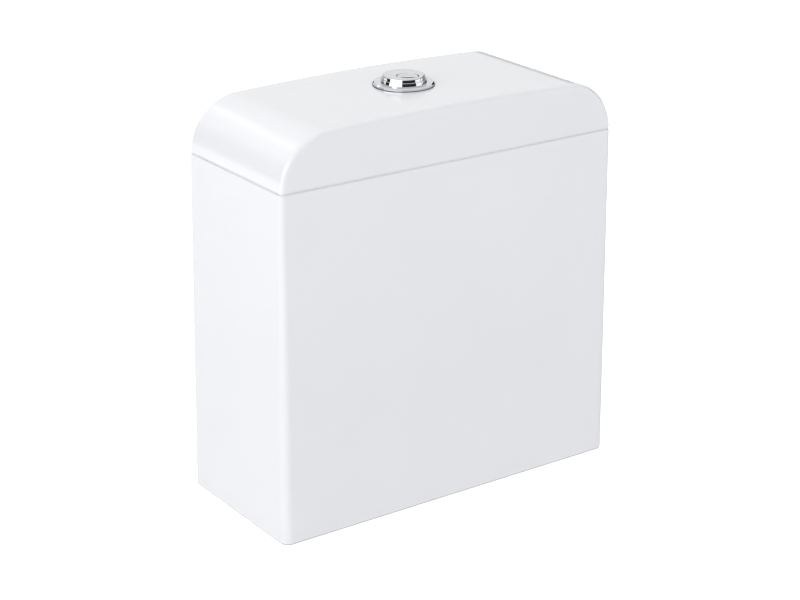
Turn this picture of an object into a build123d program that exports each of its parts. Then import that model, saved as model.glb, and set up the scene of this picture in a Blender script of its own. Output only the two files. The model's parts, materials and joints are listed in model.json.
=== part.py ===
from build123d import *
import os
from math import asin, atan, atan2, cos, degrees, hypot, pi, sin, sqrt

# Close-coupled toilet cistern with a two-part push button in its lid.
# Millimetres, +Z up, front towards -Y. The origin is on the outlet's axis, in the plane of the foot.
# Inside: a bottom-entry float valve on the left, and in the middle a flush valve whose overflow tube
# is lifted by two levers, one under each button. The cistern is dry, so the float is down on its stop.

# Tank
tank_width = 368
tank_depth = 157
tank_height = 331
foot_flare = 4
tank_wall = 9
floor_thickness = 12
foot_recess = 14
foot_rim = 13
edge_round = 4.5
cavity_round = 14
floor_round = 8
rim_round = 0.8
foot_round = 1.5
outlet_setback = 1.5

# Lid
lid_height = 53.5
crown_rise = 5.2
shoulder_radius = 52
lid_wall = 8
lid_rim_round = 3
lip_depth = 8
lip_thickness = 6
lip_gap = 3
lip_root = 14
hollow_round = 5
boss_margin = 4
boss_depth = 1.5

# Push button
button_radius = 19.95
button_rise = 9.6
button_top_wall = 3
button_skirt_wall = 1.5
button_skirt = 10.6
button_round = 1.4
button_draft = 10
button_dish = 0.6
button_gap = 0.3
button_travel = 6
flange_radius = 28.5
flange_thickness = 3
flange_bevel = 1.3
collar_height = 3.1
collar_wall = 1.25
collar_round = 0.3
shank_wall = 2.2
shank_length = 26
shank_clearance = 0.7
thread_gap = 0.1
button_washer_thickness = 2
button_washer_radius = 31
button_nut_height = 8
button_nut_radius = 31
button_nut_lobes = 10
button_nut_notch = 2.2
small_button_radius = 9.75
small_button_forward = 6.5
small_button_wall = 1.2
small_button_gap = 0.5
small_button_round = 0.6
rod_radius = 3
rod_socket_wall = 1.2
rod_socket_depth = 7
full_rod_back = 11
guide_floor = 2.4
guide_spigot = 2.2
guide_spigot_gap = 0.1
guide_sleeve_wall = 1.4
guide_sleeve_length = 12
guide_gap = 0.3
guide_window_width = 5
guide_window_inset = 3

# Button springs
spring_wire = 0.8
spring_clearance = 0.5
spring_turns = 6
spring_seat_gap = 0.1

# Flush valve body
outlet_radius = 25
tail_wall = 4.8
tail_drop = 14
tail_gap = 1.2
valve_flange_margin = 2
valve_flange_thickness = 4
inner_washer_thickness = 3
inner_washer_inset = 1
seat_lip_wall = 3
seat_lip_height = 8
post_clearance = 3
post_thickness = 4
post_width = 8
post_count = 6
post_height = 37
base_ring_width = 5
base_ring_height = 8
valve_nut_height = 10
valve_nut_wall = 6.2
valve_nut_lug = 3
valve_nut_lugs = 8
valve_nut_lug_width = 7
gasket_wall = 7
gasket_drop = 16
gasket_round = 3
soft_gap = 0.3

# Fixings to the pan
bolt_spacing = 160
bolt_radius = 4
pitch_radius_share = 0.9
bolt_hole_radius = 5.5
bolt_drop = 40
bolt_head_across = 13
bolt_head_height = 5.3
seal_washer_height = 5
seal_washer_radius = 11
seal_washer_top_radius = 8
steel_washer_radius = 12
steel_washer_thickness = 1.6
locknut_across = 13
locknut_height = 6.5
hole_gap = 0.1

# Flush valve tower
tower_ring_height = 10
spigot_height = 6
spigot_wall = 1.2
column_inset = 7
column_thickness = 5
column_width = 18
guide_plate_drop = 58
guide_plate_thickness = 6
guide_plate_width = 38
head_height = 24
head_flare = 18
head_width = 60
tie_width = 5
tie_thickness = 4.5
lever_pin_z = 280
lever_pin_offset = 20
lever_pin_radius = 2
pin_head_radius = 3.6
pin_head_length = 1.5
pin_gap = 0.06
side_gap = 0.4
pin_boss_radius = 5
pin_boss_height = 1.5
clip_radius = 4
clip_gap = 0.1
clip_sheet = 0.8
column_rib = 3.5
column_rib_thickness = 2.5
window_width = 7
window_length = 34
window_count = 2

# Levers
lever_sleeve_radius = 4.2
lever_half_height = 3
lever_thickness = 5
lever_pad_end = 4
finger_reach = 30
finger_radius = 2.5

# Overflow tube and what rides on it
tube_radius = 13
tube_wall = 1.8
tube_top_gap = 2
tube_flange_radius = 22
tube_flange_thickness = 3
tube_fins = 4
tube_fin_height = 46
tube_fin_reach = 6
tube_fin_thickness = 1.8
crest_notches = 4
crest_notch_width = 6
crest_notch_depth = 7
seal_thickness = 2.7
seal_overlap = 2
retainer_height = 4
slide_gap = 0.4
carriage_ring_width = 5.6
carriage_height = 14
yoke_ring_width = 5
yoke_height = 12
arm_width = 6
arm_height = 8
upright_gap = 2
upright_thickness = 3.5
lug_thickness = 4
lug_overlap = 4.5
mesh_gap = 0.3
arm_gusset = 14
flush_float_radius = 27
flush_float_gap = 7
flush_float_height = 40
float_round = 4
float_waist = 2.5
float_waist_height = 9
half_float_drop = 6.3
half_float_height = 40
half_float_depth = 26
half_float_inner = 3
half_float_outer = 26
upright_tail = 4
clip_thickness = 2.5
clip_width = 10

# Fill valve
fill_offset = 2.25
fill_y = 14
inlet_radius = 10.48
inlet_drop = 32
inlet_chamfer = 1
fill_bore = 6.5
fill_hole_radius = 11.5
fill_flange_radius = 17
fill_flange_thickness = 3.5
cone_washer_height = 3
cone_washer_radius = 16.5
cone_washer_low_radius = 12.5
fill_hub_radius = 12
fill_hub_height = 9
fill_nut_height = 9
fill_nut_across = 30
fill_nut_collar = 2
fill_nut_collar_radius = 18
riser_radius = 9
riser_rings = 5
riser_ring_pitch = 12
riser_ring_height = 4
riser_ring_depth = 1.2
filter_wall = 1
filter_length = 20
filter_inset = 1
socket_radius = 12.5
socket_drop = 28
socket_depth = 16
barrel_radius = 13
barrel_z = 228
barrel_front = 14
barrel_back = 12
diaphragm_thickness = 2
diaphragm_inset = 0.4
cap_radius = 16
cap_thickness = 6
cap_skirt = 7
cap_gap = 0.2
cap_ribs = 16
cap_rib_radius = 1
vent_radius = 3
vent_height = 2
ear_offset = 6
ear_thickness = 3
ear_round = 4.5
arm_pivot_drop = 20
arm_pivot_forward = 27
arm_pin_radius = 1.5
arm_pin_head = 2.6
arm_hub_radius = 3.5
arm_half_width = 3.5
arm_blade = 4
arm_blade_height = 5
arm_reach = 32
arm_end = 5
slot_width = 5
slot_length = 9
pad_radius = 3
pad_gap = 0.3
spout_back = 24
spout_radius = 6.5
elbow_radius = 8
elbow_top = 8
elbow_drop = 16
drop_tube_radius = 6
drop_tube_wall = 1.2
drop_tube_low = 45
drop_tube_seat = 12
float_travel = 10
float_width = 36
float_front = 9
float_back = 31
float_drop = 28
float_height = 42
float_guide_height = 16
float_guide_wall = 3.6
float_web = 8
float_stop_height = 4
float_stop_depth = 1.6
float_groove = 1
float_groove_height = 3
float_grooves = 3
float_boss_radius = 5
float_boss_height = 4
float_rod_radius = 2
float_rod_depth = 12
float_rod_over = 16
rod_nut_radius = 3.6
rod_nut_height = 4
rod_nut_gap = 2.2

# Cutting tools run this far past the face that they cut
overrun = 1

# Places worked out from the sizes above
tank_y = -outlet_setback
half_width = tank_width / 2
floor_top = foot_recess + floor_thickness
lid_top = tank_height + lid_height
crown_radius = (half_width**2 + crown_rise**2) / (2 * crown_rise)
shoulder_x = half_width - shoulder_radius
crown_z = lid_top - crown_radius
shoulder_z = crown_z + sqrt((crown_radius - shoulder_radius)**2 - shoulder_x**2)
boss_face = lid_top - lid_wall - boss_depth
button_bore = button_radius + button_gap
shank_radius = button_bore + shank_wall
lid_hole_radius = shank_radius + shank_clearance
bezel_top = lid_top + flange_thickness
collar_top = bezel_top + collar_height
button_top = lid_top + button_rise
skirt_low = button_top - button_skirt
shank_end = lid_top - shank_length
spring_seat = shank_end + guide_spigot
tail_radius = outlet_radius + tail_wall
seal_radius = outlet_radius + seat_lip_wall + seal_overlap
post_inner_radius = seal_radius + post_clearance
post_outer_radius = post_inner_radius + post_thickness
valve_flange_radius = post_outer_radius + valve_flange_margin
inner_washer_radius = valve_flange_radius - inner_washer_inset
valve_nut_radius = tail_radius + valve_nut_wall
gasket_radius = valve_nut_radius + valve_nut_lug + gasket_wall
valve_flange_low = floor_top + inner_washer_thickness
valve_flange_top = valve_flange_low + valve_flange_thickness
seat_top = valve_flange_top + seat_lip_height
base_ring_low = valve_flange_top + post_height
base_ring_top = base_ring_low + base_ring_height
base_ring_radius = post_inner_radius + base_ring_width
column_inside = base_ring_radius - column_inset
column_outside = column_inside + column_thickness
pin_seat = column_outside + pin_boss_height
pin_tail = pin_seat + clip_gap + 2 * clip_sheet
head_low = lever_pin_z - head_height / 2
head_high = lever_pin_z + head_height / 2
rod_tip_z = lever_pin_z + lever_half_height + mesh_gap
lever_turn = button_travel / lever_pin_offset
lift_travel = lever_turn * finger_reach
tube_top = head_low - 2 * lift_travel - tube_top_gap
guide_plate_z = tube_top - guide_plate_drop
finger_x = lever_pin_offset + finger_reach
lug_z = lever_pin_z + finger_radius + mesh_gap
upright_x = finger_x + finger_radius + upright_gap
carriage_low = guide_plate_z + guide_plate_thickness + mesh_gap
half_float_low = carriage_low - half_float_drop - half_float_height
upright_foot = half_float_low - upright_tail
yoke_low = carriage_low + carriage_height + mesh_gap
seal_low = seat_top + mesh_gap
flange_low = seal_low + seal_thickness
flush_float_low = flange_low + tube_flange_thickness + tube_fin_height + flush_float_gap
fill_x = -(upright_x + half_float_outer + half_width - tank_wall) / 2 - fill_offset
arm_pivot_y = -arm_pivot_forward
arm_pivot_z = barrel_z - arm_pivot_drop
socket_low = barrel_z - socket_drop
elbow_low = barrel_z - elbow_drop
fallen_arm_z = arm_pivot_z - float_travel
float_low = fallen_arm_z - float_drop - float_height
float_rod_top = fallen_arm_z + float_rod_over
float_rod_y = arm_pivot_y - arm_reach
cap_front = barrel_front + diaphragm_thickness
riser_top = socket_low + socket_depth - mesh_gap
float_guide_high = float_low + float_height - float_round
float_guide_low = float_guide_high - float_guide_height
float_stop_top = float_guide_low - mesh_gap
arm_tilt = float_travel / arm_reach
locknut_low = foot_recess - steel_washer_thickness - locknut_height


def ring(outer, inner, low, high):
    """A flat ring round the Z axis."""
    return Pos(0, 0, low) * extrude(Circle(outer) - Circle(inner), high - low)


def rod(radius, low, high):
    """A round rod on the Z axis."""
    return Pos(0, 0, low) * extrude(Circle(radius), high - low)


def block(x_low, x_high, y_low, y_high, z_low, z_high):
    """A box given by its faces."""
    size = (x_high - x_low, y_high - y_low, z_high - z_low)
    return Pos(x_low, y_low, z_low) * Box(*size, align=(Align.MIN, Align.MIN, Align.MIN))


def prism(outline, low, high):
    """A flat outline drawn round the origin, raised from one height to another."""
    return Pos(0, 0, low) * extrude(outline, high - low)


def spun(*points):
    """A profile of radius and height, turned round the Z axis."""
    profile = make_face(Polyline(*[(x, 0, z) for x, z in points], close=True))
    return revolve(profile, Axis.Z)


def across_y(radius, x, z, y_low, y_high):
    """A round bar along Y."""
    bar = Plane.XZ * extrude(Circle(radius), -(y_high - y_low))
    return Pos(x, y_low, z) * bar


def across_x(radius, y, z, x_low, x_high):
    """A round bar along X."""
    bar = Plane.YZ * extrude(Circle(radius), x_high - x_low)
    return Pos(x_low, y, z) * bar


def hexagon(across):
    """A hexagon of the given width across its flats."""
    return RegularPolygon(across / 2, 6, major_radius=False)


def save(name, shape):
    """Write one sub-part, as its own solid or solids."""
    solids = shape.solids()
    whole = solids[0] if len(solids) == 1 else Compound(children=list(solids))
    export_step(whole, f"parts/{name}.step")


# Tank and lid


def tank_plan(inset, corner):
    """The tank's plan at its rim, drawn in from the outer face."""
    return RectangleRounded(tank_width - 2 * inset, tank_depth - 2 * inset, corner)


def make_tank():
    """The walls lean out by the flare from the rim down to the foot."""
    rim = Pos(0, 0, tank_height) * tank_plan(0, edge_round)
    body = extrude(rim, tank_height, dir=(0, 0, -1), taper=-degrees(atan(foot_flare / tank_height)))
    body = fillet(body.faces().sort_by(Axis.Z)[0].edges(), foot_round)
    cavity = prism(tank_plan(tank_wall, cavity_round), floor_top, tank_height + overrun)
    cavity = fillet(cavity.faces().sort_by(Axis.Z)[0].edges(), floor_round)
    recess = prism(tank_plan(foot_rim, cavity_round), -overrun, foot_recess)
    body = Pos(0, tank_y) * (body - cavity - recess)
    body = fillet(body.faces().sort_by(Axis.Z)[-1].edges(), rim_round)
    body -= rod(tail_radius + tail_gap, foot_recess - overrun, floor_top + overrun)
    body -= at_bolts(rod(bolt_hole_radius, foot_recess - overrun, floor_top + overrun))
    inlet_hole = rod(fill_hole_radius, foot_recess - overrun, floor_top + overrun)
    return body - Pos(fill_x, fill_y) * inlet_hole


def lid_profile(inset):
    """The lid seen from the front: an arc at each shoulder, up from the seam, and a flat arc between."""
    radius = shoulder_radius - inset
    foot = asin((max(tank_height, shoulder_z) - shoulder_z) / radius)
    blend = atan2(shoulder_z - crown_z, shoulder_x)
    middle = (foot + blend) / 2

    def on_shoulder(angle, side):
        return (side * (shoulder_x + radius * cos(angle)), 0, shoulder_z + radius * sin(angle))

    left = ThreePointArc(*[on_shoulder(a, -1) for a in (foot, middle, blend)])
    crown = ThreePointArc(on_shoulder(blend, -1), (0, 0, lid_top - inset), on_shoulder(blend, 1))
    right = ThreePointArc(*[on_shoulder(a, 1) for a in (blend, middle, foot)])
    foot_x = shoulder_x + radius * cos(foot)
    seam = [(foot_x, 0, tank_height), (-foot_x, 0, tank_height)]
    if shoulder_z > tank_height:
        seam = [on_shoulder(foot, 1)] + seam + [on_shoulder(foot, -1)]
    return make_face(Wire([left, crown, right, Polyline(*seam) if len(seam) > 2 else Line(*seam)]))


def lid_prism(inset, depth):
    """The lid's profile carried from front to back."""
    return extrude(lid_profile(inset), depth / 2, dir=(0, 1, 0), both=True)


def end_edges(body, plane_z):
    """The edges round the front and back faces, but not those at the given height."""
    ends = body.faces().filter_by(Axis.Y)
    return [e for face in ends for e in face.edges() if e.center().Z > plane_z + overrun]


def make_lid():
    shell = lid_prism(0, tank_depth)
    shell = fillet(end_edges(shell, tank_height), edge_round)
    shell = fillet(shell.faces().sort_by(Axis.Z)[0].edges(), lid_rim_round)
    hollow = lid_prism(lid_wall, tank_depth - 2 * lid_wall)
    hollow = fillet(end_edges(hollow, tank_height), hollow_round)
    root_top = tank_height + lip_root
    hollow -= block(-tank_width, tank_width, -tank_depth, tank_depth, tank_height - overrun, root_top)
    lip_inset = tank_wall + lip_gap
    mouth = tank_plan(lip_inset + lip_thickness, cavity_round - lip_gap)
    lip_low = tank_height - lip_depth
    lip = prism(tank_plan(lip_inset, cavity_round - lip_gap), lip_low, tank_height)
    body = Pos(0, tank_y) * (shell - hollow + lip - prism(mouth, lip_low - overrun, root_top + overrun))
    boss_radius = button_washer_radius + boss_margin
    body += rod(boss_radius, boss_face, lid_top - lid_wall / 2)
    return body - rod(lid_hole_radius, boss_face - overrun, lid_top + overrun)


# Push button


def make_button_bezel():
    """The flange on the lid, the tapered collar round the button and the shank down through the lid."""
    body = rod(flange_radius, lid_top, bezel_top)
    body = chamfer(body.edges().group_by(Axis.Z)[-1], flange_bevel)
    collar = tapered(button_bore + collar_wall, bezel_top, collar_top)
    body += fillet(collar.edges().group_by(Axis.Z)[-1], collar_round)
    body += rod(shank_radius, shank_end, lid_top)
    return body - rod(button_bore, shank_end - overrun, collar_top + overrun)


def make_button_washer():
    top = boss_face
    return ring(button_washer_radius, shank_radius + thread_gap, top - button_washer_thickness, top)


def make_button_backnut():
    top = boss_face - button_washer_thickness
    nut = ring(button_nut_radius, shank_radius + thread_gap, top - button_nut_height, top)
    notch = rod(button_nut_notch, top - button_nut_height - overrun, top + overrun)
    notch = Pos(button_nut_radius, 0) * notch
    for turn in range(button_nut_lobes):
        nut -= Rot(0, 0, turn * 360 / button_nut_lobes) * notch
    return nut


def at_full_rod(shape):
    return Pos(0, full_rod_back) * shape


def at_half_rod(shape):
    return Pos(0, -small_button_forward) * shape


def make_button_guide():
    """The plate that closes the shank, seats the springs and guides both rods."""
    low = shank_end - guide_floor
    body = rod(shank_radius, low, shank_end) + rod(button_bore - guide_spigot_gap, low, spring_seat)
    hole = rod_radius + guide_gap
    for place in (at_full_rod, at_half_rod):
        body += place(rod(hole + guide_sleeve_wall, low - guide_sleeve_length, shank_end))
        body -= place(rod(hole, low - guide_sleeve_length - overrun, spring_seat + overrun))
    window_middle = button_bore - guide_window_inset - guide_window_width / 2
    slot = SlotOverall(2 * guide_window_width, guide_window_width, rotation=90)
    window = Pos(window_middle, 0) * prism(slot, low - overrun, spring_seat + overrun)
    for turn in (0, 180):
        body -= Rot(0, 0, turn) * window
    return body


def tapered(radius, low, high):
    """A round body that narrows upwards by the button's draft."""
    return Pos(0, 0, low) * extrude(Circle(radius), high - low, taper=button_draft)


def cup(outside, rim_round, bore):
    """A cap with a rounded rim, hollowed from below to leave its skirt."""
    body = fillet(outside.edges().group_by(Axis.Z)[-1], rim_round)
    return body - rod(bore, skirt_low - overrun, button_top - button_top_wall)


def rod_socket():
    """The boss under a button that takes its rod."""
    ceiling = button_top - button_top_wall
    low = ceiling - rod_socket_depth
    boss = rod(rod_radius + rod_socket_wall, low, ceiling + button_top_wall / 2)
    return boss - rod(rod_radius, low - overrun, ceiling)


def make_full_flush_button():
    """The large button is upright inside the collar and tapers above it."""
    outside = rod(button_radius, skirt_low, collar_top) + tapered(button_radius, collar_top, button_top)
    body = cup(outside, button_round, button_radius - button_skirt_wall)
    body += at_full_rod(rod_socket())
    opening = small_button_radius + small_button_gap
    body -= at_half_rod(rod(opening, skirt_low - overrun, button_top + overrun))
    rim = [e for e in body.edges().filter_by(GeomType.CIRCLE) if abs(e.radius - opening) < button_gap]
    top_rim = [e for e in rim if e.center().Z > button_top - button_round]
    return fillet(top_rim, collar_round)


def make_half_flush_button():
    """The small button has a shallow dish for the fingertip."""
    outside = rod(small_button_radius, skirt_low, button_top)
    body = cup(outside, small_button_round, small_button_radius - small_button_wall)
    dish_edge = small_button_radius - 2 * small_button_round
    dish_radius = (dish_edge**2 + button_dish**2) / (2 * button_dish)
    body -= Pos(0, 0, button_top - button_dish + dish_radius) * Sphere(dish_radius)
    return at_half_rod(body + rod_socket())


def make_flush_rod():
    """A push rod with a round tip."""
    top = button_top - button_top_wall
    tip = Pos(0, 0, rod_tip_z + rod_radius) * Sphere(rod_radius)
    return rod(rod_radius, rod_tip_z + rod_radius, top) + tip


def spring_path(radius, low, high):
    """A helix made of two arcs for each half turn, each arc touching the next without a corner."""
    rise = (high - low) / spring_turns
    steps = 2 * spring_turns

    def place(step):
        angle = step * pi
        return Vector(radius * cos(angle), radius * sin(angle), low + rise * step / 2)

    def heading(step):
        angle = step * pi
        return Vector(-radius * sin(angle), radius * cos(angle), rise / (2 * pi)).normalized()

    arcs = []
    for step in range(steps):
        start, end = place(step), place(step + 1)
        leave, arrive = heading(step), heading(step + 1)
        gap = end - start
        a = 2 * (1 - leave.dot(arrive))
        b = 2 * gap.dot(leave + arrive)
        reach = (sqrt(b**2 + 4 * a * gap.dot(gap)) - b) / (2 * a)
        first, last = start + leave * reach, end - arrive * reach
        middle = (first + last) / 2
        arcs.append(TangentArc(start, middle, tangent=leave))
        arcs.append(TangentArc(middle, end, tangent=last - first))
    return Wire(arcs), rise


def make_button_spring():
    mean_radius = rod_radius + rod_socket_wall + spring_clearance + spring_wire / 2
    inset = spring_wire / 2 + spring_seat_gap
    low = spring_seat + inset
    path, rise = spring_path(mean_radius, low, button_top - button_top_wall - inset)
    print("spring gap between turns", round(rise - spring_wire, 2))
    start = Plane(origin=path @ 0, z_dir=path % 0)
    return sweep(start * Circle(spring_wire / 2), path)


# Flush valve body


def make_valve_base():
    """The tail through the floor, the flange over the washer and the lip that the seal closes on."""
    body = ring(tail_radius, outlet_radius, -tail_drop, valve_flange_low)
    body += ring(valve_flange_radius, outlet_radius, valve_flange_low, valve_flange_top)
    lip = ring(outlet_radius + seat_lip_wall, outlet_radius, valve_flange_low, seat_top)
    return body + fillet(lip.edges().group_by(Axis.Z)[-1], seat_lip_wall / 3)


def make_cage_posts():
    """The posts that stand on the flange, with the water's windows between them."""
    span = ring(post_outer_radius, post_inner_radius, valve_flange_top, base_ring_low)
    half = post_width / 2
    spoke = block(0, valve_flange_radius, -half, half, valve_flange_top, base_ring_low)
    posts = [span & (Rot(0, 0, (turn + 0.5) * 360 / post_count) * spoke) for turn in range(post_count)]
    return Compound(children=[solid for post in posts for solid in post.solids()])


def make_cage_ring():
    return ring(base_ring_radius, post_inner_radius, base_ring_low, base_ring_top)


def make_valve_inner_washer():
    return ring(inner_washer_radius, tail_radius + soft_gap, floor_top, valve_flange_low)


def make_valve_backnut():
    low = foot_recess - valve_nut_height
    nut = ring(valve_nut_radius, tail_radius + thread_gap, low, foot_recess)
    lug_end = valve_nut_radius + valve_nut_lug
    half = valve_nut_lug_width / 2
    lug = block(valve_nut_radius - tail_wall, lug_end, -half, half, low, foot_recess)
    for turn in range(valve_nut_lugs):
        nut += Rot(0, 0, turn * 360 / valve_nut_lugs) * lug
    return nut


def make_coupling_gasket():
    """The foam ring that is squeezed between the cistern and the pan, stepped to go over the backnut."""
    nut_reach = hypot(valve_nut_radius + valve_nut_lug, valve_nut_lug_width / 2) + soft_gap
    step = foot_recess - valve_nut_height - soft_gap
    bore = tail_radius + soft_gap
    outer = gasket_radius
    body = spun((bore, -gasket_drop), (outer, -gasket_drop), (outer, foot_recess),
                (nut_reach, foot_recess), (nut_reach, step), (bore, step))
    rims = [e for e in body.edges().filter_by(GeomType.CIRCLE) if abs(e.radius - outer) < soft_gap]
    return fillet(rims, gasket_round)


# Fixings to the pan


def at_bolts(shape):
    """The same shape at both coupling bolts."""
    return Pos(-bolt_spacing / 2, 0) * shape + Pos(bolt_spacing / 2, 0) * shape


def make_coupling_bolts():
    """Hexagon bolts put in from inside the tank. An engaged thread is drawn at its pitch radius."""
    pitch = bolt_radius * pitch_radius_share
    head_low = floor_top + seal_washer_height
    bolt = rod(pitch, locknut_low, head_low) + rod(bolt_radius, -bolt_drop, locknut_low)
    bolt = chamfer(bolt.edges().group_by(Axis.Z)[0], bolt_radius - pitch)
    return at_bolts(bolt + prism(hexagon(bolt_head_across), head_low, head_low + bolt_head_height))


def make_bolt_seal_washers():
    bore = bolt_radius * pitch_radius_share + hole_gap
    top = floor_top + seal_washer_height
    washer = spun((bore, floor_top), (seal_washer_radius, floor_top),
                  (seal_washer_top_radius, top), (bore, top))
    return at_bolts(washer)


def make_bolt_steel_washers():
    low = foot_recess - steel_washer_thickness
    return at_bolts(ring(steel_washer_radius, bolt_radius + hole_gap, low, foot_recess))


def make_bolt_locknuts():
    bore = bolt_radius * pitch_radius_share + hole_gap
    nut = prism(hexagon(locknut_across) - Circle(bore), locknut_low, locknut_low + locknut_height)
    return at_bolts(nut)


# Flush valve tower and levers


def make_valve_tower():
    """Two columns on a ring, a plate that guides the overflow tube, and heads that hold the lever pins."""
    ring_top = base_ring_top + tower_ring_height
    body = ring(base_ring_radius, post_inner_radius, base_ring_top, ring_top)
    spigot_radius = post_inner_radius - thread_gap
    body += ring(spigot_radius, spigot_radius - spigot_wall, base_ring_top - spigot_height, base_ring_top)
    body += ring(post_inner_radius + thread_gap, spigot_radius - spigot_wall, base_ring_top, ring_top)
    half = column_width / 2
    head = head_width / 2
    flare_low = head_low - head_flare
    outline = [(-half, base_ring_top), (half, base_ring_top), (half, flare_low), (head, head_low),
               (head, head_high), (-head, head_high), (-head, head_low), (-half, flare_low)]
    plate = make_face(Polyline(*[(x, column_inside, z) for x, z in outline], close=True))
    column = extrude(plate, column_thickness, dir=(0, 1, 0))
    rib_half = column_rib_thickness / 2
    for edge in (-1, 1):
        middle = edge * (half - rib_half)
        column += block(middle - rib_half, middle + rib_half, column_inside, column_outside + column_rib,
                        ring_top, head_low)
    window_pitch = (guide_plate_z - ring_top) / window_count
    for step in range(window_count):
        middle = ring_top + (step + 0.5) * window_pitch
        slot = SlotOverall(window_length, window_width, rotation=90)
        window = Pos(0, 0, middle) * extrude(Plane.XZ * slot, -2 * column_outside)
        column -= window
    for side in (-1, 1):
        x = side * lever_pin_offset
        column += across_y(pin_boss_radius, x, lever_pin_z, column_inside, pin_seat)
        column -= across_y(lever_pin_radius, x, lever_pin_z, 0, pin_seat + overrun)
    body += column + mirror(column, Plane.XZ)
    plate_half = guide_plate_width / 2
    plate_top = guide_plate_z + guide_plate_thickness
    body += block(-plate_half, plate_half, -column_inside, column_inside, guide_plate_z, plate_top)
    for side in (-1, 1):
        inner, outer = side * (head - tie_width), side * head
        body += block(min(inner, outer), max(inner, outer), -column_inside, column_inside,
                      head_high - tie_thickness, head_high)
    return body - rod(tube_radius + slide_gap, guide_plate_z - overrun, plate_top + overrun)


def make_lever_pins():
    def pin(side):
        x = side * lever_pin_offset
        shaft = across_y(lever_pin_radius, x, lever_pin_z, -pin_tail, pin_seat)
        head = across_y(pin_head_radius, x, lever_pin_z, pin_seat, pin_seat + pin_head_length)
        return shaft + head

    return pin(-1) + pin(1)


def make_pin_clips():
    """Open spring clips on the tails of the lever pins."""
    back = -pin_seat - clip_gap

    def clip(side):
        x = side * lever_pin_offset
        front = back - clip_sheet
        disc = across_y(clip_radius, x, lever_pin_z, front, back)
        mouth = block(x - lever_pin_radius, x + lever_pin_radius, front - overrun, back + overrun,
                      lever_pin_z - clip_radius - overrun, lever_pin_z)
        return disc - mouth - across_y(lever_pin_radius, x, lever_pin_z, front - overrun, back + overrun)

    return clip(-1) + clip(1)


def make_lever(side, arm_y):
    """A two-armed lever on a long sleeve: a pad under its push rod, a round finger under its lifting lug."""
    pivot_x = side * lever_pin_offset
    sleeve_end = column_inside - side_gap
    body = across_y(lever_sleeve_radius, pivot_x, lever_pin_z, -sleeve_end, sleeve_end)
    low, high = lever_pin_z - lever_half_height, lever_pin_z + lever_half_height
    pad_tip = -side * lever_pad_end
    finger = side * finger_x
    outline = [(pad_tip, low), (pad_tip, high), (pivot_x, high), (finger, lever_pin_z + finger_radius),
               (finger, lever_pin_z - finger_radius), (pivot_x, low)]
    front = arm_y - lever_thickness / 2
    face = make_face(Polyline(*[(x, front, z) for x, z in outline], close=True))
    body += extrude(face, lever_thickness, dir=(0, 1, 0))
    body += across_y(finger_radius, finger, lever_pin_z, front, front + lever_thickness)
    return body - across_y(lever_pin_radius + pin_gap, pivot_x, lever_pin_z, -tank_depth, tank_depth)


# Overflow tube and the pieces that move with it


def make_overflow_tube():
    inner = tube_radius - tube_wall
    body = ring(tube_radius, inner, valve_flange_top, tube_top)
    flange_top = flange_low + tube_flange_thickness
    body += ring(tube_flange_radius, inner, flange_low, flange_top)
    half = tube_fin_thickness / 2
    reach = tube_radius + tube_fin_reach
    fin_top = flange_top + tube_fin_height
    outline = [(inner, flange_low), (reach, flange_low), (reach, flange_top),
               (tube_radius, fin_top), (inner, fin_top)]
    side = make_face(Polyline(*[(x, -half, z) for x, z in outline], close=True))
    fin = extrude(side, tube_fin_thickness, dir=(0, 1, 0))
    for turn in range(tube_fins):
        body += Rot(0, 0, (turn + 0.5) * 360 / tube_fins) * fin
    notch = block(0, tube_radius + overrun, -crest_notch_width / 2, crest_notch_width / 2,
                  tube_top - crest_notch_depth, tube_top + overrun)
    for turn in range(crest_notches):
        body -= Rot(0, 0, (turn + 0.5) * 360 / crest_notches) * notch
    return body - rod(inner, flange_low - overrun, fin_top + overrun)


def make_flush_seal():
    return ring(seal_radius, tube_radius + thread_gap, seal_low, flange_low)


def make_seal_retainer():
    return ring(tube_flange_radius, tube_radius + thread_gap, seal_low - retainer_height, seal_low)


def make_flush_float():
    low, high = flush_float_low, flush_float_low + flush_float_height
    body = rod(flush_float_radius, low, high)
    body = fillet(body.edges(), float_round)
    middle = (low + high) / 2
    outer, waist = flush_float_radius + overrun, flush_float_radius - float_waist
    mouth = float_waist_height / 2 + overrun
    root = float_waist_height / 2 - float_waist
    groove = spun((waist, middle - root), (outer, middle - mouth),
                  (outer, middle + mouth), (waist, middle + root))
    return body - groove - rod(tube_radius + thread_gap, low - overrun, high + overrun)


def lifting_arm(side, arm_y, ring_outer, arm_low, upright_low):
    """An arm from a ring on the tube to an upright, whose lug hangs over one lever's finger."""
    front, back = arm_y - arm_width / 2, arm_y + arm_width / 2
    outer_x = upright_x + upright_thickness
    lug_high = lug_z + lug_thickness
    arm = block(ring_outer - arm_height, outer_x, front, back, arm_low, arm_low + arm_height)
    upright = block(upright_x, outer_x, front, back, upright_low, lug_high)
    lug = block(finger_x - lug_overlap, outer_x, front, back, lug_z, lug_high)
    arm_high = arm_low + arm_height
    corner = [(upright_x, arm_high), (upright_x - arm_gusset, arm_high), (upright_x, arm_high + arm_gusset)]
    web = make_face(Polyline(*[(x, front, z) for x, z in corner], close=True))
    whole = arm + upright + lug + extrude(web, arm_width, dir=(0, 1, 0))
    return whole if side > 0 else mirror(whole, Plane.YZ)


def make_half_lifter():
    bore = tube_radius + slide_gap
    outer = bore + carriage_ring_width
    high = carriage_low + carriage_height
    body = ring(outer, bore, carriage_low, high)
    arm = lifting_arm(-1, -small_button_forward, outer, carriage_low, upright_foot)
    return body + (arm - rod(bore, carriage_low - overrun, high + overrun))


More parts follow.
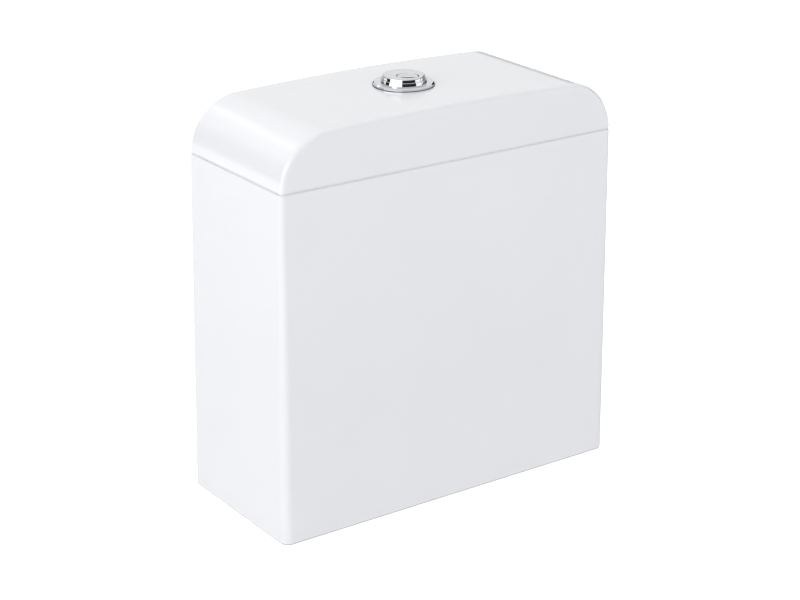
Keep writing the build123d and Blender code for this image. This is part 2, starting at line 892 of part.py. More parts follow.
def make_lift_yoke():
    bore = tube_radius + thread_gap
    outer = bore + yoke_ring_width
    high = yoke_low + yoke_height
    body = ring(outer, bore, yoke_low, high)
    arm = lifting_arm(1, full_rod_back, outer, yoke_low, yoke_low)
    return body + (arm - rod(bore, yoke_low - overrun, high + overrun))


def upright_slot(low, high):
    """The cut that lets a piece slide onto the carriage's upright."""
    reach = arm_width / 2 + thread_gap
    outer = -upright_x - upright_thickness - thread_gap
    y = -small_button_forward
    return block(outer, thread_gap - upright_x, y - reach, y + reach, low - overrun, high + overrun)


def make_half_flush_float():
    """A closed float that slides onto the carriage's upright."""
    y = -small_button_forward
    high = half_float_low + half_float_height
    body = block(-upright_x - half_float_outer, half_float_inner - upright_x, y - half_float_depth / 2,
                 y + half_float_depth / 2, half_float_low, high)
    body = fillet(body.edges().filter_by(Axis.Z), float_round)
    return body - upright_slot(half_float_low, high)


def make_float_clip():
    """A clip on the upright that keeps the half-flush float at its height."""
    y = -small_button_forward
    low = half_float_low + half_float_height
    mid = -upright_x - upright_thickness / 2
    body = block(mid - clip_width / 2, mid + clip_width / 2, y - clip_width / 2, y + clip_width / 2,
                 low, low + clip_thickness)
    return body - upright_slot(low, low + clip_thickness)


# Fill valve, drawn round its own riser and then moved to its place


def at_fill(shape):
    return Pos(fill_x, fill_y) * shape


def make_fill_shank():
    """Threaded inlet shank, flange and riser in one, with a collar that stops the float's fall.

    An engaged thread is drawn at its pitch radius.
    """
    pitch = inlet_radius - inlet_chamfer
    nut_low = foot_recess - fill_nut_height
    flange_z = floor_top + cone_washer_height
    flange_top = flange_z + fill_flange_thickness
    body = rod(inlet_radius, -inlet_drop, nut_low)
    body = chamfer(body.edges().group_by(Axis.Z)[0], inlet_chamfer)
    body += rod(pitch, nut_low, flange_z) + rod(fill_flange_radius, flange_z, flange_top)
    body += rod(fill_hub_radius, flange_top, flange_top + fill_hub_height)
    body += rod(riser_radius, flange_top, riser_top)
    for step in range(riser_rings):
        low = flange_top + fill_hub_height + (step + 0.5) * riser_ring_pitch
        body += rod(riser_radius + riser_ring_depth, low, low + riser_ring_height)
    body += rod(riser_radius + float_stop_depth, float_stop_top - float_stop_height, float_stop_top)
    return at_fill(body - rod(fill_bore, -inlet_drop - overrun, riser_top + overrun))


def make_fill_shank_washer():
    bore = inlet_radius - inlet_chamfer + soft_gap
    high = floor_top + cone_washer_height
    washer = spun((bore, floor_top), (cone_washer_low_radius, floor_top),
                  (cone_washer_radius, high), (bore, high))
    return at_fill(washer)


def make_fill_backnut():
    bore = inlet_radius - inlet_chamfer + hole_gap
    nut = prism(hexagon(fill_nut_across) - Circle(bore), foot_recess - fill_nut_height, foot_recess)
    return at_fill(nut + ring(fill_nut_collar_radius, bore, foot_recess - fill_nut_collar, foot_recess))


def make_inlet_filter():
    low = filter_inset - inlet_drop
    outer = fill_bore - hole_gap
    body = rod(outer, low, low + filter_length)
    return at_fill(body - rod(outer - filter_wall, low - overrun, low + filter_length - filter_wall))


def make_fill_head():
    """Socket on the riser, a barrel in front with the diaphragm's seat, and the outlet elbow behind."""
    body = rod(socket_radius, socket_low, barrel_z)
    body += across_y(barrel_radius, 0, barrel_z, -barrel_front, barrel_back)
    body += across_y(spout_radius, 0, barrel_z, 0, spout_back)
    body += Pos(0, spout_back) * rod(elbow_radius, elbow_low, barrel_z + elbow_top)
    tube_hole = rod(drop_tube_radius + hole_gap, elbow_low - overrun, elbow_low + drop_tube_seat)
    body -= Pos(0, spout_back) * tube_hole
    return at_fill(body - rod(riser_radius + hole_gap, socket_low - overrun, socket_low + socket_depth))


def make_diaphragm():
    radius = barrel_radius - diaphragm_inset
    return at_fill(across_y(radius, 0, barrel_z, -cap_front, -barrel_front))


def make_fill_cap():
    """Screw cap over the diaphragm, with a vent in its middle and two ears that carry the float arm."""
    front = cap_front + cap_thickness
    body = across_y(cap_radius, 0, barrel_z, -front, cap_skirt - cap_front)
    for turn in range(cap_ribs):
        angle = turn * 2 * pi / cap_ribs
        x, z = cap_radius * cos(angle), barrel_z + cap_radius * sin(angle)
        body += across_y(cap_rib_radius, x, z, -front, cap_skirt - cap_front)
    body -= across_y(barrel_radius + cap_gap, 0, barrel_z, -cap_front, cap_skirt)
    body += across_y(vent_radius, 0, barrel_z, -front - vent_height, -front)
    for side in (-1, 1):
        low_x, high_x = side * ear_offset - ear_thickness / 2, side * ear_offset + ear_thickness / 2
        ear_low, ear_high = arm_pivot_z - ear_round, arm_pivot_z + ear_round
        ear = block(low_x, high_x, arm_pivot_y, -cap_front, ear_low, ear_high)
        ear += across_x(ear_round, arm_pivot_y, arm_pivot_z, low_x, high_x)
        ear += block(low_x, high_x, -front, -cap_front - overrun, arm_pivot_z, barrel_z)
        body += ear
    body -= across_y(barrel_radius + cap_gap, 0, barrel_z, -cap_front, cap_skirt)
    body -= rod(socket_radius + cap_gap, socket_low, barrel_z)
    return at_fill(body - across_x(arm_pin_radius, arm_pivot_y, arm_pivot_z, -tank_depth, tank_depth))


def make_arm_pin():
    outer = ear_offset + ear_thickness / 2
    body = across_x(arm_pin_radius, arm_pivot_y, arm_pivot_z, -outer, outer + pin_head_length)
    head = across_x(arm_pin_head, arm_pivot_y, arm_pivot_z, -outer - pin_head_length, -outer)
    return at_fill(body + head)


def vent_face():
    return -(cap_front + cap_thickness + vent_height)


def tilted(shape):
    """Turn a piece of the arm from its level place to where the fallen float holds it."""
    to_pivot = Pos(0, arm_pivot_y, arm_pivot_z)
    return at_fill(to_pivot * Rot(degrees(arm_tilt), 0, 0) * to_pivot.inverse() * shape)


def make_float_arm():
    """A bell crank, drawn level: its short arm holds the pilot pad to the vent while the float is up."""
    half = arm_half_width
    body = across_x(arm_hub_radius, arm_pivot_y, arm_pivot_z, -half, half)
    blade_back = arm_pivot_y + arm_blade / 4
    body += block(-half, half, blade_back - arm_blade, blade_back, arm_pivot_z, barrel_z + pad_radius)
    low, high = arm_pivot_z - arm_blade_height / 2, arm_pivot_z + arm_blade_height / 2
    body += block(-half, half, float_rod_y, arm_pivot_y, low, high)
    slot_front, slot_back = float_rod_y - slot_length / 2, float_rod_y + slot_length / 2
    body += block(-slot_width, slot_width, slot_front - arm_end / 2, slot_back + arm_end / 2, low, high)
    body -= block(-slot_width / 2, slot_width / 2, slot_front, slot_back, low - overrun, high + overrun)
    bore = across_x(arm_pin_radius + pin_gap, arm_pivot_y, arm_pivot_z, -tank_depth, tank_depth)
    return tilted(body - bore)


def make_pilot_pad():
    back = vent_face() - pad_gap
    return tilted(across_y(pad_radius, 0, barrel_z, arm_pivot_y + arm_blade / 4, back))


def make_drop_tube():
    top = elbow_low + drop_tube_seat - hole_gap
    tube = ring(drop_tube_radius, drop_tube_radius - drop_tube_wall, drop_tube_low, top)
    return at_fill(Pos(0, spout_back) * tube)


def make_float_box():
    """A closed box float with a ring that slides on the riser and a boss for the adjusting rod."""
    high = float_low + float_height
    front, back = float_rod_y - float_front, float_rod_y + float_back
    half = float_width / 2
    body = block(-half, half, front, back, float_low, high)
    body = fillet(body.edges(), float_round)
    for step in range(float_grooves):
        middle = float_low + (step + 1) * float_height / (float_grooves + 1)
        for face in (-1, 1):
            near, far = face * (half - float_groove), face * (half + overrun)
            body -= block(min(near, far), max(near, far), front + 2 * float_round, back - 2 * float_round,
                          middle - float_groove_height / 2, middle + float_groove_height / 2)
    guide_bore = riser_radius + slide_gap
    guide_radius = guide_bore + float_guide_wall
    web = float_web / 2
    body += block(-web, web, back - overrun, -guide_bore, float_guide_low, float_guide_high)
    body += rod(guide_radius, float_guide_low, float_guide_high)
    body += Pos(0, float_rod_y) * rod(float_boss_radius, high - float_round, high + float_boss_height)
    body -= rod(guide_bore, float_guide_low - overrun, float_guide_high + overrun)
    hole = rod(float_rod_radius + pin_gap, high - float_rod_depth, high + float_boss_height + overrun)
    return at_fill(body - Pos(0, float_rod_y) * hole)


def make_float_rod():
    low = float_low + float_height - float_rod_depth + hole_gap
    return at_fill(Pos(0, float_rod_y) * rod(float_rod_radius, low, float_rod_top))


def make_rod_nuts():
    """Two thumb nuts on the float's rod, one each side of the arm."""
    reach = arm_blade_height / 2 + rod_nut_gap
    nut = ring(rod_nut_radius, float_rod_radius + pin_gap, 0, rod_nut_height)
    upper = Pos(0, float_rod_y, fallen_arm_z + reach) * nut
    lower = Pos(0, float_rod_y, fallen_arm_z - reach - rod_nut_height) * nut
    return at_fill(upper + lower)


def main():
    os.makedirs("parts", exist_ok=True)
    save("tank", make_tank())
    save("lid", make_lid())
    save("button_bezel", make_button_bezel())
    save("button_washer", make_button_washer())
    save("button_backnut", make_button_backnut())
    save("button_guide", make_button_guide())
    save("full_flush_button", make_full_flush_button())
    save("half_flush_button", make_half_flush_button())
    save("full_flush_rod", at_full_rod(make_flush_rod()))
    save("half_flush_rod", at_half_rod(make_flush_rod()))
    save("full_button_spring", at_full_rod(make_button_spring()))
    save("half_button_spring", at_half_rod(make_button_spring()))
    save("valve_base", make_valve_base())
    save("cage_posts", make_cage_posts())
    save("cage_ring", make_cage_ring())
    save("valve_inner_washer", make_valve_inner_washer())
    save("valve_backnut", make_valve_backnut())
    save("coupling_gasket", make_coupling_gasket())
    save("coupling_bolts", make_coupling_bolts())
    save("bolt_seal_washers", make_bolt_seal_washers())
    save("bolt_steel_washers", make_bolt_steel_washers())
    save("bolt_locknuts", make_bolt_locknuts())
    save("valve_tower", make_valve_tower())
    save("lever_pins", make_lever_pins())
    save("pin_clips", make_pin_clips())
    save("full_flush_lever", make_lever(1, full_rod_back))
    save("half_flush_lever", make_lever(-1, -small_button_forward))
    save("overflow_tube", make_overflow_tube())
    save("flush_seal", make_flush_seal())
    save("seal_retainer", make_seal_retainer())
    save("flush_float", make_flush_float())
    save("lift_yoke", make_lift_yoke())
    save("half_lifter", make_half_lifter())
    save("half_flush_float", make_half_flush_float())
    save("float_clip", make_float_clip())
    save("fill_shank", make_fill_shank())
    save("fill_shank_washer", make_fill_shank_washer())
    save("fill_backnut", make_fill_backnut())
    save("inlet_filter", make_inlet_filter())
    save("fill_head", make_fill_head())
    save("diaphragm", make_diaphragm())
    save("fill_cap", make_fill_cap())
    save("arm_pin", make_arm_pin())
    save("float_arm", make_float_arm())
    save("pilot_pad", make_pilot_pad())
    save("drop_tube", make_drop_tube())
    save("float_box", make_float_box())
    save("float_rod", make_float_rod())
    save("rod_nuts", make_rod_nuts())


main()
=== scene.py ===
import json
from math import cos, pi, radians, sin

import bpy
from mathutils import Matrix, Vector


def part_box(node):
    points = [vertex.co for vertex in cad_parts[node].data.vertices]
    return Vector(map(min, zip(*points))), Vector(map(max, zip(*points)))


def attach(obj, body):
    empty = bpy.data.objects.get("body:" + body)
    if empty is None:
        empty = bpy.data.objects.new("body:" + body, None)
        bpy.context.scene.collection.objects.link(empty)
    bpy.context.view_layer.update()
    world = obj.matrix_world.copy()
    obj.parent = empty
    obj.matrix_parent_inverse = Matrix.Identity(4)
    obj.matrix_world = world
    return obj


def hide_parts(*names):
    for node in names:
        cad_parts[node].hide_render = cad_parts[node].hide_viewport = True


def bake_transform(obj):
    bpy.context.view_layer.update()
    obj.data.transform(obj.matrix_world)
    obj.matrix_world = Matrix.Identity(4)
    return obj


# Close-coupled ceramic cistern with a chrome push button, in a white studio.
# Metres, in the frame of the CAD model: +Z up, front towards -Y, origin on the outlet's axis.

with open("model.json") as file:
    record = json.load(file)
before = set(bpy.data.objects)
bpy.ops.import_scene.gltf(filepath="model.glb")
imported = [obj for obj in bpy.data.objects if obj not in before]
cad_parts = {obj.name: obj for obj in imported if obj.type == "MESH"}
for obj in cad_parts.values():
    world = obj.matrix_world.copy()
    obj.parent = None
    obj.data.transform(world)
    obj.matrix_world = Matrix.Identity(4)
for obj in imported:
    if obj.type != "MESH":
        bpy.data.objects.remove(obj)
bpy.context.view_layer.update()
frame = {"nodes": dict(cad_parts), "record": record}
nodes = frame["nodes"]

MM = 0.001

# Camera, fitted to the photograph's edges
CAMERA_AZIMUTH = radians(-35.20)
CAMERA_ELEVATION = radians(20.90)
CAMERA_ROLL = radians(0.233)
CAMERA_DISTANCE = 1.9486
CAMERA_TARGET = Vector((-0.00297, 0, 0.1732))
SENSOR_WIDTH = 36
FOCAL_LENGTH = 91.90

# Light: the sky seen, the sky that lights, and the point that the lamps face
BACKGROUND = 1.0
AMBIENT = 0.46
LAMP_AIM = Vector((0, 0, 0.19))

# Floor: its paint, and the glow that rises to white with the distance from the cistern,
# from near to far, once for the camera and once for what the chrome reflects
FLOOR_DROP = 0.40
FLOOR_SIZE = 40
FLOOR_PAINT = 0.80
FLOOR_LIFT = 0.55
FLOOR_NEAR = 0.6
FLOOR_FAR = 2.5
MIRRORED_NEAR = 1.5
MIRRORED_FAR = 4.0

# What the chrome reflects: a dark room below this height of the sky, but for the white wall
# behind the cistern. The lamps stand in front of it.
ROOM_TOP = sin(radians(19))
ROOM_SOFTNESS = 0.03
ROOM_LEVEL = 0.03
WALL_AZIMUTH = CAMERA_AZIMUTH - radians(168.5)
WALL_HALF_WIDTH = radians(28)
WALL_LOW = sin(radians(7))

# Glaze: two tones in broad patches, a long wave and fine orange peel, and bare clay at the foot, coloured dark
# there as painted shade along the bottom edge
GLAZE_TONES = ((0.856, 0.864, 0.890), (0.868, 0.876, 0.900))
GLAZE_PATCH = 90 * MM
GLAZE_ROUGHNESS = (0.15, 0.19)
GLAZE_GLOSS_PATCH = 35 * MM
GLAZE_DEPTH = 1 * MM
WAVE_LENGTH = 30 * MM
WAVE_HEIGHT = 0.05 * MM
PEEL_LENGTH = 0.9 * MM
PEEL_HEIGHT = 0.0015 * MM
# Bare clay, its tones far darker than fired clay: painted shade along the bottom edge
SHADED_CLAY_TONES = ((0.36, 0.35, 0.33), (0.46, 0.44, 0.42))
CLAY_GRAIN = 1.2 * MM
CLAY_DULLNESS = 0.6
BARE_AND_SHADED_FOOT = 1.4 * MM

# Foam
FOAM_TONES = ((0.018, 0.018, 0.020), (0.065, 0.066, 0.070))
FOAM_CELL = 1.1 * MM
FOAM_DEPTH = 0.35 * MM
PORE_EDGE = 0.15
WALL_EDGE = 0.75

# Plain finishes: tones mottled by one noise, gloss varied by a second and bump from a third
PLATED = dict(mottle=dict(feature=12 * MM),
              smears=dict(feature=6 * MM, detail=4, roughness=0.6, stretch=(1, 4, 1)),
              grain=dict(feature=10 * MM, detail=2), depth=0.006 * MM, in_Metallic=1.0)
MOULDED = dict(mottle=dict(feature=18 * MM, stretch=(1, 1, 0.35)), smears=dict(feature=7 * MM),
               grain=dict(feature=0.9 * MM, detail=2), depth=0.012 * MM, in_IOR=1.49)
CAST = dict(mottle=dict(feature=4 * MM, detail=4), smears=dict(feature=2 * MM), in_IOR=1.5)
STREAKS = dict(feature=0.6 * MM, roughness=0.6, stretch=(1, 1, 0.08))
CHROME = dict(tones=((0.60, 0.615, 0.64), (0.64, 0.65, 0.67)), gloss=(0.02, 0.05), **PLATED)
WHITE_PLASTIC = dict(tones=((0.80, 0.80, 0.77), (0.85, 0.85, 0.83)), gloss=(0.30, 0.42), **MOULDED)
GREY_PLASTIC = dict(tones=((0.36, 0.38, 0.40), (0.43, 0.45, 0.47)), gloss=(0.38, 0.50), **MOULDED)
BLUE_PLASTIC = dict(tones=((0.085, 0.24, 0.50), (0.11, 0.29, 0.57)), gloss=(0.30, 0.42), **MOULDED)
BLACK_RUBBER = dict(tones=((0.022, 0.022, 0.024), (0.040, 0.040, 0.042)), gloss=(0.55, 0.75),
                    grain=dict(feature=0.8 * MM), depth=0.03 * MM, **CAST)
RED_SILICONE = dict(tones=((0.46, 0.055, 0.040), (0.56, 0.075, 0.055)), gloss=(0.35, 0.5),
                    grain=dict(feature=1.4 * MM), depth=0.02 * MM, **CAST)
STEEL = dict(tones=((0.50, 0.50, 0.49), (0.66, 0.66, 0.64)), gloss=(0.22, 0.40),
             mottle=STREAKS, smears=STREAKS, grain=STREAKS, depth=0.01 * MM, in_Metallic=1.0)

# Depth of a thread's bump, as a share of its pitch
THREAD_SHARE = 0.9

# Rubber ring under the button's flange, its dark rim past the flange's edge standing in as painted contact shadow
SHADOW_GASKET_STEPS = 120
SHADOW_GASKET_INSIDE = 0.6 * MM
SHADOW_GASKET_OUTSIDE = 0.3 * MM
SHADOW_GASKET_BULGE = 0.1 * MM
SHADOW_GASKET_SUNK = 0.15 * MM
SHADOW_GASKET_HEIGHT = 0.6 * MM

# Bead in the lid's seam: inset from the lid's outline and rise above the tank's rim, in mm
SEAT_PROFILE = ((1.0, 0.02), (1.0, 0.68), (1.5, 0.35), (2.0, 0.13), (2.4, 0.02))
SEAT_CORNER = 4.5 * MM
CORNER_STEPS = 6

# Places read from the frame
mounts = {mount["name"]: mount for mount in frame["record"]["mounts"]}
tank_low, tank_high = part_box("tank")
lid_low, lid_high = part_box("lid")
bezel_low, bezel_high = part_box("button_bezel")
rod_low, rod_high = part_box("float_rod")
tail_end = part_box("valve_base")[0].z
shank_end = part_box("fill_shank")[0].z
bolt_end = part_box("coupling_bolts")[0].z
backnut_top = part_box("valve_backnut")[1].z
rod_middle = (rod_low + rod_high) / 2
inlet = mounts["inlet_thread"]["pos_m"]
bolt_x = mounts["coupling_studs"]["dims"]["spacing_x_mm"] / 2 * MM

# Screw threads: the axis, the pitch, the two ends and the radius inside which a face stays plain
TAIL_SCREW = dict(centre=(0, 0), pitch=3 * MM, low=tail_end, high=backnut_top, core=29.4 * MM)
INLET_SCREW = dict(centre=inlet[:2], pitch=1.814 * MM, low=shank_end, high=backnut_top, core=9 * MM)
BEZEL_SCREW = dict(centre=(0, 0), pitch=2 * MM, low=bezel_low.z, high=lid_high.z - MM, core=22 * MM)
ROD_SCREW = dict(centre=rod_middle[:2], pitch=0.8 * MM, low=rod_low.z, high=rod_high.z - 0.3 * MM,
                 core=1.8 * MM)
BOLT_SCREW = dict(centre=(bolt_x, 0), pitch=1.25 * MM, low=bolt_end + MM, high=tank_low.z + 25 * MM,
                  core=3 * MM, both_sides=True)


def new_material(name):
    """A material and its shader tree, emptied."""
    material = bpy.data.materials.new(name)
    material.use_nodes = True
    tree = material.node_tree
    tree.nodes.clear()
    return material, tree


def add(tree, kind, **values):
    """Add a node. Keys of the form in_Name set an input socket, the others set attributes."""
    node = tree.nodes.new(kind)
    for key, value in values.items():
        if key.startswith("in_"):
            node.inputs[key[3:].replace("_", " ")].default_value = value
        else:
            setattr(node, key, value)
    return node


def link(tree, start, end):
    tree.links.new(start, end)


def colour(r, g, b):
    return (r, g, b, 1)


def object_point(tree):
    return add(tree, "ShaderNodeTexCoord").outputs["Object"]


def axis_values(tree):
    """The x, y and z of the point being shaded."""
    split = add(tree, "ShaderNodeSeparateXYZ")
    link(tree, object_point(tree), split.inputs[0])
    return split.outputs


def math(tree, operation, a, b):
    """A math node on sockets or numbers."""
    node = add(tree, "ShaderNodeMath", operation=operation)
    for socket, value in zip(node.inputs, (a, b)):
        if isinstance(value, (int, float)):
            socket.default_value = value
        else:
            link(tree, value, socket)
    return node.outputs[0]


def distance(tree, dx, dy):
    """The length of a flat vector."""
    squares = math(tree, "ADD", math(tree, "MULTIPLY", dx, dx), math(tree, "MULTIPLY", dy, dy))
    return math(tree, "POWER", squares, 0.5)


def between(tree, value, low, high):
    """1 where the value lies between two numbers, else 0."""
    return math(tree, "MULTIPLY", math(tree, "GREATER_THAN", value, low), math(tree, "LESS_THAN", value, high))


def noise(tree, feature, detail=3, roughness=0.5, stretch=(1, 1, 1)):
    """Noise whose features are about the given size in metres."""
    mapping = add(tree, "ShaderNodeMapping", in_Scale=stretch)
    link(tree, object_point(tree), mapping.inputs["Vector"])
    node = add(tree, "ShaderNodeTexNoise", in_Scale=1 / feature, in_Detail=detail, in_Roughness=roughness)
    link(tree, mapping.outputs[0], node.inputs["Vector"])
    return node.outputs["Fac"]


def spread(tree, value, low, high, start=0.3, end=0.7):
    """Map a value to a range. The default start and end suit noise."""
    node = add(tree, "ShaderNodeMapRange", in_From_Min=start, in_From_Max=end, in_To_Min=low, in_To_Max=high)
    link(tree, value, node.inputs["Value"])
    return node.outputs[0]


def mix_tones(tree, factor, first, second):
    node = add(tree, "ShaderNodeMix", data_type="RGBA")
    node.inputs["A"].default_value = colour(*first)
    node.inputs["B"].default_value = colour(*second)
    link(tree, factor, node.inputs["Factor"])
    return node.outputs["Result"]


def choose(tree, data_type, factor, first, second):
    """The first socket where the factor is 0, the second where it is 1."""
    node = add(tree, "ShaderNodeMix", data_type=data_type)
    link(tree, factor, node.inputs["Factor"])
    link(tree, first, node.inputs["A"])
    link(tree, second, node.inputs["B"])
    return node.outputs["Result"]


def bump(tree, height, depth, normal=None):
    node = add(tree, "ShaderNodeBump", in_Strength=1.0, in_Distance=depth)
    link(tree, height, node.inputs["Height"])
    if normal is not None:
        link(tree, normal, node.inputs["Normal"])
    return node.outputs["Normal"]


def thread(tree, centre, pitch, low, high, core, both_sides=False):
    """The height of a screw thread round a vertical axis, or round one on each side of the middle."""
    x, y, z = axis_values(tree)
    if both_sides:
        x = math(tree, "ABSOLUTE", x, 0)
    dx = math(tree, "SUBTRACT", x, centre[0])
    dy = math(tree, "SUBTRACT", y, centre[1])
    turn = math(tree, "DIVIDE", math(tree, "ARCTAN2", dy, dx), 2 * pi)
    phase = math(tree, "SUBTRACT", math(tree, "DIVIDE", z, pitch), turn)
    height = math(tree, "PINGPONG", phase, 0.5)
    outside = math(tree, "GREATER_THAN", distance(tree, dx, dy), core)
    return math(tree, "MULTIPLY", height, math(tree, "MULTIPLY", between(tree, z, low, high), outside))


def principled(tree, **values):
    shader = add(tree, "ShaderNodeBsdfPrincipled", **values)
    output = add(tree, "ShaderNodeOutputMaterial")
    link(tree, shader.outputs[0], output.inputs["Surface"])
    return shader


def make_ceramic():
    """White glaze over clay, bare where the foot stands and coloured dark there as painted shade along the bottom
    edge, with the faint waviness of a fired surface.
    """
    material, tree = new_material("glazed_ceramic_shaded_foot")
    shader = principled(tree, in_IOR=1.52, in_Subsurface_Weight=0.15, in_Subsurface_Scale=GLAZE_DEPTH,
                        in_Subsurface_Radius=(1, 1, 1))
    glaze = mix_tones(tree, spread(tree, noise(tree, GLAZE_PATCH, 2), 0, 1), *GLAZE_TONES)
    shaded_clay = mix_tones(tree, noise(tree, CLAY_GRAIN, 2), *SHADED_CLAY_TONES)
    # The foot's band: matte bare clay, coloured dark as painted shade along the bottom edge
    bare_and_shaded = math(tree, "LESS_THAN", axis_values(tree)[2], tank_low.z + BARE_AND_SHADED_FOOT)
    link(tree, choose(tree, "RGBA", bare_and_shaded, glaze, shaded_clay), shader.inputs["Base Color"])
    gloss = spread(tree, noise(tree, GLAZE_GLOSS_PATCH), *GLAZE_ROUGHNESS)
    rough = math(tree, "ADD", gloss, math(tree, "MULTIPLY", bare_and_shaded, CLAY_DULLNESS))
    link(tree, rough, shader.inputs["Roughness"])
    waves = bump(tree, noise(tree, WAVE_LENGTH, 2), WAVE_HEIGHT)
    link(tree, bump(tree, noise(tree, PEEL_LENGTH, 2), PEEL_HEIGHT, waves), shader.inputs["Normal"])
    return material


def make_foam():
    """Open-cell foam: small dark pores between lighter walls."""
    material, tree = new_material("black_foam")
    shader = principled(tree, in_IOR=1.45, in_Roughness=0.95)
    cells = add(tree, "ShaderNodeTexVoronoi", in_Scale=1 / FOAM_CELL)
    link(tree, object_point(tree), cells.inputs["Vector"])
    pores = spread(tree, cells.outputs["Distance"], 0, 1, PORE_EDGE, WALL_EDGE)
    link(tree, mix_tones(tree, pores, *FOAM_TONES), shader.inputs["Base Color"])
    link(tree, bump(tree, pores, FOAM_DEPTH), shader.inputs["Normal"])
    return material


def make_finish(name, tones, mottle, gloss, smears, grain, depth, screw=None, **values):
    """A plain finish and, where it has one, a screw thread. The other values go to the shader."""
    material, tree = new_material(name)
    shader = principled(tree, **values)
    tone = mix_tones(tree, spread(tree, noise(tree, **mottle), 0, 1), *tones)
    link(tree, tone, shader.inputs["Base Color"])
    link(tree, spread(tree, noise(tree, **smears), *gloss), shader.inputs["Roughness"])
    normal = bump(tree, noise(tree, **grain), depth)
    if screw:
        normal = bump(tree, thread(tree, **screw), THREAD_SHARE * screw["pitch"], normal)
    link(tree, normal, shader.inputs["Normal"])
    return material


def assign(material, node):
    """Give a CAD node a material in place of its plain one."""
    mesh = nodes[node].data
    mesh.materials.clear()
    mesh.materials.append(material)


ceramic = make_ceramic()
rubber = make_finish("black_rubber", **BLACK_RUBBER)
by_slot = {
    "ceramic": ceramic,
    "chrome": make_finish("chrome", **CHROME),
    "white_plastic": make_finish("white_plastic", **WHITE_PLASTIC),
    "grey_plastic": make_finish("grey_plastic", **GREY_PLASTIC),
    "blue_plastic": make_finish("blue_plastic", **BLUE_PLASTIC),
    "black_rubber": rubber,
    "black_foam": make_foam(),
    "red_silicone": make_finish("red_silicone", **RED_SILICONE),
    "steel": make_finish("stainless_steel", **STEEL),
}
for part in frame["record"]["subparts"]:
    assign(by_slot[part["material_slot"]], part["node"])
assign(make_finish("white_plastic_tail", screw=TAIL_SCREW, **WHITE_PLASTIC), "valve_base")
assign(make_finish("white_plastic_shank", screw=INLET_SCREW, **WHITE_PLASTIC), "fill_shank")
assign(make_finish("chrome_shank", screw=BEZEL_SCREW, **CHROME), "button_bezel")
assign(make_finish("grey_plastic_rod", screw=ROD_SCREW, **GREY_PLASTIC), "float_rod")
assign(make_finish("stainless_steel_bolt", screw=BOLT_SCREW, **STEEL), "coupling_bolts")


def lamp(name, place, size, power, tint=(1, 1, 1), mirrored=True):
    """A soft rectangular lamp that faces the cistern."""
    data = bpy.data.lights.new(name, "AREA")
    data.shape = "RECTANGLE"
    data.size, data.size_y = size
    data.energy = power
    data.color = tint
    lamp_object = bpy.data.objects.new(name, data)
    lamp_object.location = place
    lamp_object.rotation_euler = (LAMP_AIM - Vector(place)).to_track_quat("-Z", "Y").to_euler()
    lamp_object.visible_glossy = mirrored
    bpy.context.scene.collection.objects.link(lamp_object)


lamp("key_left", place=(-2.4, -0.6, 1.0), size=(3.4, 1.8), power=42)
lamp("top_soft", place=(0.5, 0.9, 2.3), size=(2.2, 2.2), power=21.5, mirrored=False)
lamp("front_fill", place=(0.6, -2.5, 0.8), size=(1.5, 1.7), power=10.3, tint=(0.95, 0.965, 1.0), mirrored=False)
lamp("right_strip", place=(1.9, -1.8, 0.45), size=(1.6, 0.9), power=6.5)
lamp("back_left", place=(-0.76, 2.03, 1.78), size=(1.2, 0.2), power=0.9)


def make_ring(name, loops, material, body):
    """A closed ring with one loop of points for each point of its profile."""
    n, steps = len(loops), len(loops[0])
    verts = [loops[i][k] for k in range(steps) for i in range(n)]
    faces = [(k * n + i, k * n + (i + 1) % n, ((k + 1) % steps) * n + (i + 1) % n, ((k + 1) % steps) * n + i)
             for k in range(steps) for i in range(n)]
    mesh = bpy.data.meshes.new(name)
    mesh.from_pydata(verts, [], faces)
    mesh.shade_smooth()
    mesh.materials.append(material)
    ring = bpy.data.objects.new(name, mesh)
    bpy.context.scene.collection.objects.link(ring)
    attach(ring, body)


def circle(radius, z, steps):
    return [(radius * cos(2 * pi * k / steps), radius * sin(2 * pi * k / steps), z) for k in range(steps)]


def rounded_rectangle(low, high, inset, corner, z, steps):
    """The corners' arcs one after the other, drawn in from the outline by the inset."""
    points = []
    radius = corner - inset
    for quarter, (sx, sy) in enumerate(((1, 1), (-1, 1), (-1, -1), (1, -1))):
        x = (high.x if sx > 0 else low.x) - sx * corner
        y = (high.y if sy > 0 else low.y) - sy * corner
        for k in range(steps + 1):
            angle = pi / 2 * (quarter + k / steps)
            points.append((x + radius * cos(angle), y + radius * sin(angle), z))
    return points


def make_flange_shadow_gasket():
    """A thin rubber ring under the flange's edge, on the lid. Its dark rim, standing out past the edge, is
    painted contact shadow under the flange.
    """
    inner, outer = bezel_high.x - SHADOW_GASKET_INSIDE, bezel_high.x + SHADOW_GASKET_OUTSIDE
    low = lid_high.z - SHADOW_GASKET_SUNK
    high = low + SHADOW_GASKET_HEIGHT
    # The rim past the flange and its bulge show as a dark line: painted contact shadow
    profile = ((inner, low), (outer, low), (outer + SHADOW_GASKET_BULGE, (low + high) / 2), (outer, high), (inner, high))
    loops = [circle(radius, z, SHADOW_GASKET_STEPS) for radius, z in profile]
    make_ring("flange_shadow_gasket", loops, rubber, "lid")


def make_lid_seat():
    """A thin pale bead on the tank's rim that fills the seam behind the lid's rounded edge."""
    loops = [rounded_rectangle(lid_low, lid_high, inset * MM, SEAT_CORNER, tank_high.z + rise * MM, CORNER_STEPS)
             for inset, rise in SEAT_PROFILE]
    make_ring("lid_seat", loops, ceramic, "cistern")


def make_coil(node):
    """A copy of a button's spring, standing where its CAD node stands; the node is hidden."""
    coil = bpy.data.objects.new(node.replace("spring", "coil"), nodes[node].data.copy())
    bpy.context.scene.collection.objects.link(coil)
    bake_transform(coil)
    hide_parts(node)


make_flange_shadow_gasket()
make_lid_seat()
make_coil("full_button_spring")
make_coil("half_button_spring")


